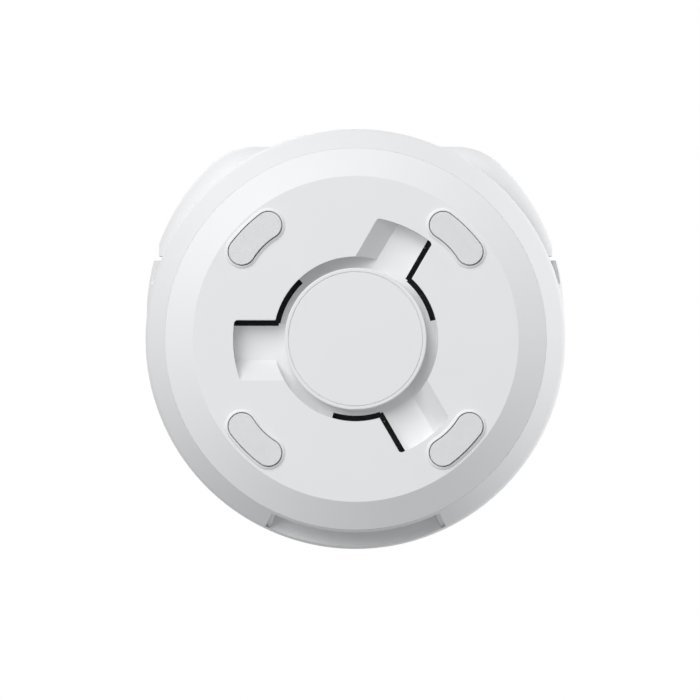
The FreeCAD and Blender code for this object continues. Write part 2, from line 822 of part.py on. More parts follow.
def lying_cylinder(radius, x_low, length, y, z):
    """Cylinder along X."""
    thing = doc.addObject("Part::Cylinder", "lying_cylinder")
    bind(thing, "Radius", radius)
    bind(thing, "Height", length)
    thing.Placement = FreeCAD.Placement(FreeCAD.Vector(), FreeCAD.Rotation(FreeCAD.Vector(0, 1, 0), 90))
    bind(thing, "Placement.Base.x", x_low)
    bind(thing, "Placement.Base.y", y)
    bind(thing, "Placement.Base.z", z)
    return thing


CELLS = {"front": ("front_cell_y", 1), "rear": ("rear_cell_y", -1)}


def battery_tray():
    """Cradle for two cells side by side, with a wall at each end."""
    half = "tray_half_length"
    y_range = ("tray_front", "tray_front + tray_depth")
    bed = block((f"0 - {half}", half), y_range, ("tray_bottom", "cell_level"))
    length = f"2 * ({half} - tray_wall)"
    troughs = [
        lying_cylinder("cell_radius + cell_gap / 2", f"tray_wall - {half}", length, y, "cell_level")
        for y, _ in CELLS.values()
    ]
    walls = [
        block((low, high), y_range, ("tray_bottom", "cell_level + cell_radius"))
        for low, high in ((f"0 - {half}", f"0 - {half} + tray_wall"), (f"{half} - tray_wall", half))
    ]
    piece("battery_tray", fuse(cut(bed, *troughs), *walls))


def cells():
    """Two dry cells, nose to tail, each with its raised contact."""
    for name, (y, way) in CELLS.items():
        body = lying_cylinder("cell_radius", "0 - cell_length / 2", "cell_length", y, "cell_level")
        start = "cell_length / 2" if way > 0 else "0 - cell_length / 2 - nub_length"
        nub = lying_cylinder("nub_radius", start, "nub_length", y, "cell_level")
        piece(f"battery_{name}", fuse(body, nub))


def contacts():
    """A flat contact at each cell's nose, and a stepped spring contact at its tail."""
    plates, springs = [], []
    wall_face = "(tray_half_length - tray_wall)"
    for y, way in CELLS.values():
        plate_x = f"{wall_face} - contact_thickness" if way > 0 else f"0 - {wall_face}"
        y_range = (f"{y} - cell_radius * 0.8", f"{y} + cell_radius * 0.8")
        z_range = ("cell_level - cell_radius * 0.6", "cell_level + cell_radius * 0.6")
        plates.append(block((plate_x, f"{plate_x} + contact_thickness"), y_range, z_range))
        reach = f"({wall_face} - contact_thickness - cell_length / 2 - nub_length - screw_gap)"
        tab = f"0 - {reach} + {wall_face} - contact_thickness"
        tab_x = tab if way > 0 else f"0 - {wall_face} + contact_thickness"
        plates.append(lying_cylinder("nub_radius", tab_x, reach, y, "cell_level"))
        tail = f"({wall_face} - cell_length / 2 - screw_gap)"
        start = f"0 - {wall_face}" if way > 0 else f"{wall_face} - {tail} / 2"
        springs.append(lying_cylinder("cell_radius * 0.75", start, f"{tail} / 2", y, "cell_level"))
        tip = f"0 - {wall_face} + {tail} / 2" if way > 0 else f"{wall_face} - {tail}"
        springs.append(lying_cylinder("cell_radius * 0.5", tip, f"{tail} / 2", y, "cell_level"))
    piece("contact_plates", group(fuse(*plates[:2]), fuse(*plates[2:])))
    piece("contact_springs", group(fuse(*springs[:2]), fuse(*springs[2:])))


def test_button():
    """Round button with a crowned top and a stem down to the switch."""
    shoulder = "(button_radius - button_edge)"
    crown_radius = f"(({shoulder} ^ 2 + button_proud ^ 2) / (2 * button_proud))"
    cap = turned(
        [
            (0, "button_bottom"),
            ("button_radius", "button_bottom"),
            ("button_radius", "cover_top - button_edge", (shoulder, "cover_top - button_edge"), 1),
            (shoulder, "cover_top", ("0", f"cover_top + button_proud - {crown_radius}"), 1),
            (0, "cover_top + button_proud"),
        ]
    )
    stem = cylinder("stem_radius", "board_top + switch_height + switch_gap", "button_bottom + wall / 2")
    piece("test_button", fuse(cap, stem))


def button_clip():
    """Snap ring on the stem, under the collar, that keeps the button in."""
    high = "collar_bottom - screw_gap * 2"
    low = f"{high} - clip_thickness"
    piece("button_clip", ring("clip_radius", "stem_radius + screw_gap / 5", low, high))


def button_bezel():
    bore = "button_radius + fit_gap"
    outer = f"{bore} + bezel_width - screw_gap"
    piece("button_bezel", ring(outer, bore, "cover_top - bezel_thickness", "cover_top + screw_gap"))


def button_spring():
    """Coil about the stem, between the collar's floor and the button."""
    body = doc.addObject("PartDesign::Body", "coil_body")
    sketch = body.newObject("Sketcher::SketchObject", "wire")
    sketch.AttachmentSupport = [(plane_of(body, "XZ_Plane"), "")]
    sketch.MapMode = "FlatFace"
    sketch.addGeometry(Part.Circle(FreeCAD.Vector(1, 1, 0), FreeCAD.Vector(0, 0, 1), 0.5))
    start = "collar_floor + spring_wire + screw_gap"
    for kind, expression in (("DistanceX", "spring_radius"), ("DistanceY", start)):
        held = sketch.addConstraint(Sketcher.Constraint(kind, -1, 1, 0, 3, number(expression)))
        sketch.setExpression(f"Constraints[{held}]", sized(expression))
    held = sketch.addConstraint(Sketcher.Constraint("Radius", 0, number("spring_wire")))
    sketch.setExpression(f"Constraints[{held}]", sized("spring_wire"))
    coil = body.newObject("PartDesign::AdditiveHelix", "coil")
    coil.Profile = sketch
    coil.ReferenceAxis = (sketch, ["V_Axis"])
    coil.Mode = 0
    height = "(button_bottom - collar_floor - 2 * spring_wire - 2 * screw_gap)"
    bind(coil, "Height", height)
    bind(coil, "Pitch", f"{height} / spring_turns")
    piece("button_spring", body)


def main_board():
    disc = cylinder("body_radius - board_margin", "board_bottom", "board_top")
    holes = columns(foot_spots(), "screw_radius + fit_gap", "board_bottom", "board_top")
    piece("main_board", cut(disc, *holes))


def board_parts():
    """What stands on the board's upper side."""
    low = "board_top"
    switch = centred_block("0", "0", "switch_width", "switch_width", low, f"{low} + switch_height * 0.8")
    plunger = cylinder("stem_radius", low, f"{low} + switch_height")
    piece("tact_switch", fuse(switch, plunger))
    piece("processor_chip", centred_block("14", "0 - 15", "10", "10", low, f"{low} + 1.2"))
    piece("driver_chip", centred_block("0 - 16", "0 - 19", "7", "5", low, f"{low} + 1.5"))
    piece("radio_module", centred_block("27", "0 - 4", "14", "11", low, f"{low} + 2.2"))
    piece("power_connector", centred_block("11", "0 - 25", "9", "5", low, f"{low} + 4.5"))
    cans = [cylinder("3.2", low, f"{low} + 5.5", x, "0 - 26") for x in ("0 - 9", "0 - 1")]
    piece("capacitors", group(*cans))
    piece("status_lamp", cylinder("lamp_radius", low, f"{low} + lamp_height", "lamp_x", "lamp_y"))
    pipe_low = f"{low} + lamp_height + fit_gap"
    piece("light_pipe", cylinder("lamp_radius", pipe_low, "cover_top + screw_gap", "lamp_x", "lamp_y"))


def optical_chamber():
    """Dark labyrinth that smoke drifts into: floor with slanting vanes, lid, mesh and two diodes."""
    x, y = "chamber_x", "chamber_y"
    top = "chamber_top"
    count = int(number("vane_count"))
    vanes = []
    for index in range(count):
        angle = index * 360 / count
        spot_x, spot_y = polar("vane_circle", angle)
        vane = doc.addObject("Part::Box", "vane")
        bind(vane, "Length", "vane_length")
        bind(vane, "Width", "vane_thickness")
        bind(vane, "Height", "vane_height + chamber_floor / 2")
        foot = "board_top + chamber_floor / 2"
        set_down(vane, f"{x} + {spot_x}", f"{y} + {spot_y}", foot, f"{angle} + vane_tilt")
        vanes.append(vane)
    floor = cylinder("chamber_radius", "board_top", "board_top + chamber_floor", x, y)
    piece("chamber_base", fuse(floor, *vanes))
    piece("chamber_lid", cylinder("chamber_radius", top, f"{top} + chamber_floor", x, y))
    mesh = "chamber_radius + screw_gap * 2 + screen_thickness"
    piece("chamber_screen", ring(mesh, "chamber_radius + screw_gap * 2", "board_top + screw_gap", top, x, y))
    low = "board_top + chamber_floor"
    for name, shift in (("smoke_emitter", "0 - 5"), ("smoke_receiver", "5")):
        piece(name, cylinder("diode_radius", low, f"{low} + diode_height", f"{x} + {shift}", y))


def sounder():
    """Horn cup under the face's slots, a piezo disc on its inner step, and two leads."""
    x, y = "sounder_x", "sounder_y"
    middle = "(sounder_bottom + sounder_height / 2)"
    outer = cylinder("sounder_radius", "sounder_bottom", "ceiling_level", x, y)
    upper = cylinder("sounder_radius - sounder_wall", middle, "ceiling_level + wall", x, y)
    lower = cylinder("sounder_radius - 2 * sounder_wall", "sounder_bottom + sounder_wall", middle, x, y)
    piece("sounder_horn", cut(outer, fuse(upper, lower)))
    disc = "sounder_radius - sounder_wall - screw_gap"
    piece("sounder_disc", cylinder(disc, middle, f"{middle} + disc_thickness", x, y))
    leads = [
        cylinder("lead_radius", "board_top", "sounder_bottom", f"{x} + {shift}", y)
        for shift in ("lead_spacing / 2", "0 - lead_spacing / 2")
    ]
    piece("sounder_leads", group(*leads))


def check_document():
    for thing in doc.Objects:
        if {"Invalid", "Error"} & set(thing.State):
            raise RuntimeError(f"{thing.Name} ({thing.Label}) did not recompute: {thing.State}")
    for thing in pieces:
        if thing.Shape.isNull() or not thing.Shape.isValid():
            raise RuntimeError(f"{thing.Label} has no valid shape")
        if not thing.Shape.Solids:
            raise RuntimeError(f"{thing.Label} has no solid")


def export_pieces():
    os.makedirs("parts", exist_ok=True)
    for thing in pieces:
        thing.Shape.exportStep(f"parts/{thing.Label}.step")
        print(f"{thing.Label:20s} {len(thing.Shape.Solids)} solid(s) {thing.Shape.Volume:10.1f} mm3")


fill_sheet()
base_plate()
centre_cap()
feet()
base_ring()
chassis()
insect_screen()
housing_screws()
cover_screws()
shell = cover_wall()
lower_shell(shell)
front_cover(shell)
battery_drawer(shell)
battery_tray()
cells()
contacts()
test_button()
button_clip()
button_bezel()
button_spring()
main_board()
board_parts()
optical_chamber()
sounder()
doc.recompute()
check_document()
export_pieces()
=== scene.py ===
"""Looks for a ceiling smoke alarm seen from its mounting side: finishes, small fittings, lamps, camera.

Metres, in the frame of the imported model: z = 0 under the rubber feet, +Z towards the room face,
the Z axis through the round base, -Y towards the battery drawer.
"""

import json
import math

import bpy
import numpy as np
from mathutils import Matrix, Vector


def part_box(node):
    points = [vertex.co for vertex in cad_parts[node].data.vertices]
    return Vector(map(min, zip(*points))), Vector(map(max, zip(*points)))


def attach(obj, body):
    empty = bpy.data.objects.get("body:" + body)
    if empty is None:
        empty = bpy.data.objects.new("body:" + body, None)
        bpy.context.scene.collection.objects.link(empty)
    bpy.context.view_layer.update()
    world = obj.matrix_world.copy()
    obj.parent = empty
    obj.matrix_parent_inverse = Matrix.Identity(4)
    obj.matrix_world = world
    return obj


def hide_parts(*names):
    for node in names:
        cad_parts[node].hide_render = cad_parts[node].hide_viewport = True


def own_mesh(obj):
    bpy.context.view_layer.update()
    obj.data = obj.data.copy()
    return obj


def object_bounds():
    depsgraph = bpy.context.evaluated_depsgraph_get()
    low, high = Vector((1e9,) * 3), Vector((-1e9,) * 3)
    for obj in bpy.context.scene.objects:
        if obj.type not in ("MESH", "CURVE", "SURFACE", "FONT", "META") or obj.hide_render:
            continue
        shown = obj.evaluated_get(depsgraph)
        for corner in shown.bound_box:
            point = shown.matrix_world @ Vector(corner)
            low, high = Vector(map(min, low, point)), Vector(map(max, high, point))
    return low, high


MM = 0.001
FULL_TURN = 2.0 * math.pi

# camera: a long lens looking straight up at the mounting side
LENS = 400.0
SENSOR = 36.0
VIEW_WIDTH = 166.7 * MM
VIEW_DEPTH = 15.8 * MM
CAMERA_X = -1.33 * MM
CAMERA_Y = 2.62 * MM
FAR_CLIP = 20.0

# lamps: direction from the object, distance, side of the square, strength, whether gloss shows it
LAMPS = {
    "key": ((-0.387, -0.514, -0.766), 1.3, 1.00, 13.4, True),
    "rim": ((0.86, 0.05, 0.51), 1.3, 0.70, 13.0, False),
    "side": ((0.92, -0.35, 0.0), 1.3, 0.70, 3.2, False),
    "room": ((-0.30, -0.45, 0.84), 1.3, 0.60, 1.6, True),
}
AMBIENT = 0.36
AMBIENT_COLOR = (0.98, 0.99, 1.0)
WHITE = (1.0, 1.0, 1.0)

# floor: it fades out round a circle, given as shares of half its size
FLOOR_COLOR = (0.84, 0.845, 0.85)
FLOOR_SIZE = 3.0
FADE_MIDDLE = 0.6
FADE_SOFTNESS = 0.35

# colours of details that lie inside one of the record's slots
CELL_BAND = (0.62, 0.30, 0.14)
CELL_STEEL = (0.72, 0.71, 0.69)
BOARD_TRACK = (0.022, 0.026, 0.03)
BOARD_PAD = (0.30, 0.27, 0.20)
CAN_SLEEVE = (0.03, 0.035, 0.06)
CLEAR_TINT = (0.9, 0.93, 0.92)
DISC_CERAMIC = (0.74, 0.74, 0.70)
CHIP_CERAMIC = (0.30, 0.20, 0.12)
CHIP_TIN = (0.75, 0.75, 0.74)

# first and second colour among the inputs of a Mix node
MIX_COLORS = (6, 7)

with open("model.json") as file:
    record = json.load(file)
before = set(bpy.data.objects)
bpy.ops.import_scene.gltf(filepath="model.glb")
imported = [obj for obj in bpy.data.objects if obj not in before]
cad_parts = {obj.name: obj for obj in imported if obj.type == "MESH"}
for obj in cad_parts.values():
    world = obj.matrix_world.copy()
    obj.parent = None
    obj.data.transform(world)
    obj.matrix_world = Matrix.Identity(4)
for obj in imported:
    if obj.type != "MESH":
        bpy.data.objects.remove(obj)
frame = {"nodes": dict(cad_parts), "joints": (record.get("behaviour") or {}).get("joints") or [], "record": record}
cad_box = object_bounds()
COLORS = {entry["slot"]: tuple(entry["base_color"]) for entry in frame["record"]["materials"]}


# ---------------------------------------------------------------- shader tools

class Value:
    """A socket of a finish's node tree; arithmetic on it adds Math nodes."""

    def __init__(self, finish, socket):
        self.finish = finish
        self.socket = socket

    def math(self, operation, *others):
        terms = dict(enumerate((self, *others)))
        return self.finish.node("Math", 0, {"operation": operation}, terms)

    def __add__(self, other):
        return self.math("ADD", other)

    def __radd__(self, other):
        return self.math("ADD", other)

    def __sub__(self, other):
        return self.math("SUBTRACT", other)

    def __rsub__(self, other):
        return self.math("MULTIPLY_ADD", -1.0, other)

    def __mul__(self, other):
        return self.math("MULTIPLY", other)

    def __rmul__(self, other):
        return self.math("MULTIPLY", other)

    def __truediv__(self, other):
        return self.math("DIVIDE", other)

    def above(self, level, softness):
        """0 below the level, 1 above it, with a soft edge."""
        edges = {0: self, 1: level - softness, 2: level + softness}
        return self.finish.node("MapRange", 0, {"interpolation_type": "SMOOTHSTEP"}, edges)


class Finish:
    """One procedural material built round a Principled shader.

    Its constants are named after the shader's sockets, in small letters with underscores for spaces.
    """

    def __init__(self, name, **constants):
        self.material = bpy.data.materials.new(name)
        self.material.use_nodes = True
        self.tree = self.material.node_tree
        self.tree.nodes.clear()
        self.shader = self.tree.nodes.new("ShaderNodeBsdfPrincipled")
        self.output = self.tree.nodes.new("ShaderNodeOutputMaterial")
        self.tree.links.new(self.shader.outputs[0], self.output.inputs["Surface"])
        for socket, value in constants.items():
            title = socket.replace("_", " ").title().replace("Ior", "IOR")
            self.shader.inputs[title].default_value = value
        self.place = self.node("TexCoord", "Object", {}, {})

    def node(self, kind, output, settings, sockets):
        """Adds a node, sets its settings and then its sockets, and returns one of its outputs."""
        made = self.tree.nodes.new("ShaderNode" + kind)
        for name, setting in settings.items():
            if name == "stops":
                ramp = made.color_ramp
                for stop, (position, color) in enumerate(setting):
                    element = ramp.elements[stop] if stop < 2 else ramp.elements.new(position)
                    element.position = position
                    element.color = (*color, 1.0)
            else:
                setattr(made, name, setting)
        for name, value in sockets.items():
            if isinstance(value, Value):
                self.tree.links.new(value.socket, made.inputs[name])
            else:
                made.inputs[name].default_value = value
        return Value(self, made.outputs[output])

    def feed(self, socket, value):
        """Links a value to one of the shader's own sockets."""
        self.tree.links.new(value.socket, self.shader.inputs[socket])

    def noise(self, size, detail=2.0, place=None):
        """Cloudy noise from 0 to 1 whose patches are about size across."""
        sockets = {"Vector": place or self.place, "Scale": 1.0 / size, "Detail": detail}
        return self.node("TexNoise", "Fac", {}, sockets)

    def stretched(self, scale):
        """Object coordinates scaled per axis, for patterns that run one way."""
        return self.node("Mapping", 0, {"vector_type": "POINT"}, {"Vector": self.place, "Scale": scale})

    def axis(self, name):
        """One object coordinate, in metres."""
        return self.node("SeparateXYZ", name, {}, {"Vector": self.place})

    def distance(self, place):
        """How far a place is from the origin of its coordinates."""
        return self.node("VectorMath", "Value", {"operation": "LENGTH"}, {0: place})

    def mottled(self, color, spread, size):
        """A colour that drifts a little lighter and darker from patch to patch."""
        low = tuple(part * (1.0 - spread) for part in color)
        high = tuple(min(1.0, part * (1.0 + spread)) for part in color)
        stops = ((0.3, low), (0.7, high))
        return self.node("ValToRGB", "Color", {"stops": stops}, {"Fac": self.noise(size)})

    def blended(self, mask, first, second):
        """The first colour where the mask is 0, the second where it is 1."""
        sockets = {0: mask}
        for place, color in zip(MIX_COLORS, (first, second)):
            sockets[place] = color if isinstance(color, Value) else (*color, 1.0)
        return self.node("Mix", 2, {"data_type": "RGBA"}, sockets)

    def relief(self, height, depth, under=None):
        """Raises the surface by depth where the height is 1."""
        sockets = {"Height": height, "Distance": depth, "Strength": 1.0}
        if under:
            sockets["Normal"] = under
        return self.node("Bump", 0, {}, sockets)


# ---------------------------------------------------------------- finishes

def white_plastic():
    """Fine matt moulding: a spark-eroded grain too small to see as dots, and a faint cloudiness."""
    finish = Finish("white_plastic", coat_weight=0.05, coat_roughness=0.35)
    grain = finish.noise(0.16 * MM)
    flow = finish.noise(14.0 * MM)
    finish.feed("Base Color", finish.mottled(COLORS["white_plastic"], 0.006, 22.0 * MM))
    finish.feed("Roughness", 0.43 + 0.05 * grain + 0.05 * flow)
    finish.feed("Normal", finish.relief(grain, 0.004 * MM, finish.relief(flow, 0.02 * MM)))
    return finish


def button_plastic():
    """Smoother satin moulding than the cover round it."""
    finish = Finish("button_plastic")
    grain = finish.noise(0.10 * MM)
    finish.feed("Base Color", finish.mottled(COLORS["button_plastic"], 0.008, 9.0 * MM))
    finish.feed("Roughness", 0.33 + 0.06 * grain)
    finish.feed("Normal", finish.relief(grain, 0.002 * MM))
    return finish


def grey_plastic():
    """Grey moulding of the inner frame, a little more uneven in tone than the white."""
    finish = Finish("grey_plastic")
    grain = finish.noise(0.2 * MM)
    finish.feed("Base Color", finish.mottled(COLORS["grey_plastic"], 0.02, 12.0 * MM))
    finish.feed("Roughness", 0.42 + 0.08 * grain)
    finish.feed("Normal", finish.relief(grain, 0.004 * MM))
    return finish


def dark_plastic():
    """Matt black moulding that swallows stray light, with coarser grain."""
    finish = Finish("dark_plastic")
    grain = finish.noise(0.25 * MM)
    finish.feed("Base Color", finish.mottled(COLORS["dark_plastic"], 0.15, 6.0 * MM))
    finish.feed("Roughness", 0.58 + 0.1 * grain)
    finish.feed("Normal", finish.relief(grain, 0.008 * MM))
    return finish


def pale_rubber():
    """Soft silicone: dull, faintly dusty, with a velvety edge."""
    finish = Finish("pale_rubber", sheen_weight=0.12, sheen_roughness=0.5)
    stipple = finish.noise(0.12 * MM, 3.0)
    dust = finish.noise(2.5 * MM)
    finish.feed("Base Color", finish.mottled(COLORS["pale_rubber"], 0.012, 3.0 * MM))
    finish.feed("Roughness", 0.66 + 0.12 * dust)
    finish.feed("Normal", finish.relief(stipple, 0.006 * MM))
    return finish


def steel_mesh(name, node):
    """Etched steel band round its own upright axis: staggered holes worked out from angle and height."""
    finish = Finish(name, metallic=1.0)
    pitch = 0.9 * MM
    hole_level = 0.18
    hole_edge = 0.12
    radius = width(node) / 2
    angle = finish.axis("Y").math("ARCTAN2", finish.axis("X") - middle(node).x)
    across = angle * (radius / pitch)
    rows = finish.axis("Z") / (0.5 * pitch)
    weave = (across * FULL_TURN).math("COSINE") * (rows * math.pi).math("COSINE")
    solid = 1.0 - weave.above(hole_level, hole_edge)
    finish.feed("Alpha", solid)
    finish.feed("Base Color", finish.mottled(COLORS["steel_mesh"], 0.12, 1.5 * MM))
    finish.feed("Roughness", 0.34 + 0.12 * finish.noise(0.4 * MM))
    finish.feed("Normal", finish.relief(solid, 0.05 * MM))
    return finish


def bright_metal(name, roughness, spread, drawn):
    """Metal with fine drawing lines along one axis and slightly uneven tone."""
    finish = Finish(name, metallic=1.0)
    lines = finish.noise(0.3 * MM, 3.0, finish.stretched(drawn))
    finish.feed("Base Color", finish.mottled(COLORS[name], spread, 1.8 * MM))
    finish.feed("Roughness", roughness + 0.16 * lines)
    finish.feed("Normal", finish.relief(lines, 0.004 * MM))
    return finish


def cell_jacket():
    """Dry cell lying along X: a dark sleeve, with a copper-coloured band and bare metal at each end."""
    finish = Finish("cell_jacket")
    length = width("battery_front")
    band_start = 0.27 * length
    sleeve_end = 0.478 * length
    along = finish.axis("X").math("ABSOLUTE")
    band = along.above(band_start, 0.05 * MM)
    bare = along.above(sleeve_end, 0.04 * MM)
    copper = finish.mottled(CELL_BAND, 0.05, 4.0 * MM)
    sleeve = finish.mottled(COLORS["cell_jacket"], 0.08, 5.0 * MM)
    steel = finish.mottled(CELL_STEEL, 0.05, 1.0 * MM)
    printed = finish.blended(band, sleeve, copper)
    finish.feed("Base Color", finish.blended(bare, printed, steel))
    finish.feed("Metallic", bare * 0.8 + band * 0.2)
    finish.feed("Roughness", 0.3 + 0.08 * finish.noise(0.8 * MM))
    finish.feed("Normal", finish.relief(1.0 - bare, 0.06 * MM))
    return finish


def board_laminate():
    """Black solder mask over copper: tracks as raised cell borders, tinned vias as small dots."""
    finish = Finish("board_laminate", specular_ior_level=0.22)
    scale = 1.0 / (3.2 * MM)
    to_edge = {"feature": "DISTANCE_TO_EDGE", "distance": "MANHATTAN"}
    cells = {"Vector": finish.place, "Scale": scale, "Randomness": 0.55}
    track = 1.0 - finish.node("TexVoronoi", "Distance", to_edge, cells).above(0.07, 0.02)
    dots = {"Vector": finish.place, "Scale": scale, "Randomness": 0.35}
    pad = 1.0 - finish.node("TexVoronoi", "Distance", {"feature": "F1"}, dots).above(0.06, 0.01)
    mask = finish.mottled(COLORS["board_laminate"], 0.08, 3.0 * MM)
    traced = finish.blended(track, mask, BOARD_TRACK)
    finish.feed("Base Color", finish.blended(pad, traced, BOARD_PAD))
    finish.feed("Metallic", pad * 0.9)
    finish.feed("Roughness", 0.34 + 0.1 * finish.noise(0.5 * MM))
    finish.feed("Normal", finish.relief(track * 0.5 + pad, 0.04 * MM))
    return finish


def chip_plastic():
    """Dull black moulding of the switch and chips."""
    finish = Finish("chip_plastic")
    grain = finish.noise(0.08 * MM)
    finish.feed("Base Color", finish.mottled(COLORS["chip_plastic"], 0.2, 1.5 * MM))
    finish.feed("Roughness", 0.5 + 0.12 * grain)
    finish.feed("Normal", finish.relief(grain, 0.004 * MM))
    return finish


def connector_plastic():
    """Natural nylon, slightly waxy."""
    finish = Finish("connector_plastic", subsurface_weight=0.1, subsurface_scale=0.5 * MM)
    finish.feed("Base Color", finish.mottled(COLORS["connector_plastic"], 0.03, 2.0 * MM))
    finish.feed("Roughness", 0.36 + 0.08 * finish.noise(0.3 * MM))
    finish.feed("Normal", finish.relief(finish.noise(0.3 * MM), 0.005 * MM))
    return finish


def can_aluminium():
    """Capacitor cans: a dark plastic sleeve low down, bare drawn aluminium above it."""
    finish = Finish("can_aluminium")
    low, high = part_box("capacitors")
    sleeve_share = 0.86
    bare = finish.axis("Z").above(low.z + sleeve_share * (high.z - low.z), 0.05 * MM)
    sleeve = finish.mottled(CAN_SLEEVE, 0.1, 2.0 * MM)
    drawn = finish.mottled(COLORS["can_aluminium"], 0.05, 0.8 * MM)
    finish.feed("Base Color", finish.blended(bare, sleeve, drawn))
    finish.feed("Metallic", bare)
    finish.feed("Roughness", 0.3 + 0.1 * finish.noise(0.3 * MM))
    finish.feed("Normal", finish.relief(1.0 - bare, 0.08 * MM))
    return finish


def clear_plastic():
    """Clear moulding of the lamp and light pipe, faintly cloudy inside."""
    finish = Finish("clear_plastic", transmission_weight=0.75, ior=1.49)
    finish.feed("Base Color", finish.mottled(CLEAR_TINT, 0.02, 1.5 * MM))
    finish.feed("Roughness", 0.12 + 0.08 * finish.noise(0.4 * MM))
    finish.feed("Normal", finish.relief(finish.noise(0.6 * MM), 0.006 * MM))
    return finish


def sounder_brass():
    """Brass disc with a dull silvered patch of ceramic in its middle."""
    finish = Finish("sounder_brass")
    ceramic_reach = 0.33 * width("sounder_disc")
    shifted = {"Vector": finish.place, "Location": -middle("sounder_disc")}
    from_centre = finish.node("Mapping", 0, {"vector_type": "POINT"}, shifted)
    rim = finish.distance(from_centre).above(ceramic_reach, 0.05 * MM)
    ceramic = finish.mottled(DISC_CERAMIC, 0.04, 1.0 * MM)
    brass = finish.mottled(COLORS["sounder_brass"], 0.06, 1.5 * MM)
    finish.feed("Base Color", finish.blended(rim, ceramic, brass))
    finish.feed("Metallic", 0.25 + 0.75 * rim)
    finish.feed("Roughness", 0.42 - 0.14 * rim + 0.1 * finish.noise(0.4 * MM))
    finish.feed("Normal", finish.relief(1.0 - rim, 0.06 * MM))
    return finish


def lead_insulation():
    """Thin soft plastic over the sounder's two leads."""
    finish = Finish("lead_copper")
    finish.feed("Base Color", finish.mottled(COLORS["lead_copper"], 0.08, 1.0 * MM))
    finish.feed("Roughness", 0.35 + 0.08 * finish.noise(0.3 * MM))
    finish.feed("Normal", finish.relief(finish.noise(0.3 * MM), 0.004 * MM))
    return finish


def ceramic_chip():
    """Small surface-mounted parts: a dull ceramic body between two tinned ends."""
    finish = Finish("ceramic_chip")
    along = finish.node("Attribute", "Fac", {"attribute_name": "along"}, {}).math("ABSOLUTE")
    tinned = along.above(0.62, 0.03)
    body = finish.mottled(CHIP_CERAMIC, 0.25, 2.5 * MM)
    finish.feed("Base Color", finish.blended(tinned, body, CHIP_TIN))
    finish.feed("Metallic", tinned)
    finish.feed("Roughness", 0.4 - 0.1 * tinned + 0.1 * finish.noise(0.3 * MM))
    finish.feed("Normal", finish.relief(finish.noise(0.2 * MM), 0.005 * MM))
    return finish


# ---------------------------------------------------------------- new pieces

def width(node):
    """How far a CAD node reaches along X."""
    low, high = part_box(node)
    return high.x - low.x


def middle(node):
    """The middle of a CAD node's box."""
    low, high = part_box(node)
    return (low + high) / 2


def surface(points, along=None):
    """Places, faces and values of a closed skin over a grid of points, rows by columns.

    Each row wraps round from its last column to its first. The first and last rows are single points
    repeated, and become the two poles. along, one number for each point, is what the values hold.
    """
    rows, columns = points.shape[:2]
    ring = np.arange(columns)
    follower = (ring + 1) % columns
    near = np.arange(rows - 3)[:, None] * columns
    far = near + columns
    quads = np.stack([near + ring, near + follower, far + follower, far + ring], -1)
    low_pole = (rows - 2) * columns
    high_pole = low_pole + 1
    last_ring = low_pole - columns
    low_fan = np.stack([np.full(columns, low_pole), follower, ring], -1)
    high_fan = np.stack([np.full(columns, high_pole), last_ring + ring, last_ring + follower], -1)
    places = np.concatenate([points[1:-1].reshape(-1, 3), points[:1, 0], points[-1:, 0]])
    faces = quads.reshape(-1, 4).tolist() + low_fan.tolist() + high_fan.tolist()
    if along is None:
        return places, faces, None
    values = np.concatenate([along[1:-1].ravel(), along[:1, 0], along[-1:, 0]])
    return places, faces, values


def build(skins, name, finish, body):
    """One object from several closed skins, smooth, riding on a body.

    Where the skins have values, the finish reads them as the point attribute along.
    """
    places, skin_faces, values = zip(*skins)
    starts = np.cumsum([0] + [len(skin) for skin in places[:-1]])
    faces = []
    for skin, start in zip(skin_faces, starts):
        faces += [[corner + start for corner in face] for face in skin]
    mesh = bpy.data.meshes.new(name)
    mesh.from_pydata(np.concatenate(places).tolist(), [], faces)
    mesh.polygons.foreach_set("use_smooth", np.ones(len(faces), bool))
    if values[0] is not None:
        kept = mesh.attributes.new("along", "FLOAT", "POINT")
        kept.data.foreach_set("value", np.concatenate(values).astype(np.float32))
    mesh.materials.append(finish.material)
    piece = bpy.data.objects.new(name, mesh)
    bpy.context.scene.collection.objects.link(piece)
    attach(piece, body)
    return piece


def soft_block(centre, size, turned):
    """Rounded block that nearly fills its box.

    It is a ball whose sines and cosines are raised to a power well under 1. Its x, from -1 to 1, is kept
    as each point's value, and turned blocks lie along Y.
    """
    power = 0.3
    rows = 9
    columns = 16
    rise = np.linspace(-math.pi / 2, math.pi / 2, rows)[:, None]
    sweep = np.linspace(0.0, FULL_TURN, columns, endpoint=False)[None, :]

    def squared(wave):
        return np.sign(wave) * np.abs(wave) ** power

    x = squared(np.cos(rise)) * squared(np.cos(sweep))
    y = squared(np.cos(rise)) * squared(np.sin(sweep))
    z = squared(np.sin(rise)) * np.ones_like(sweep)
    half = np.array(size) / 2
    places = np.stack([x * half[0], y * half[1], z * half[2]], -1)
    if turned:
        places = np.stack([-places[..., 1], places[..., 0], places[..., 2]], -1)
    return surface(places + np.array(centre), x)


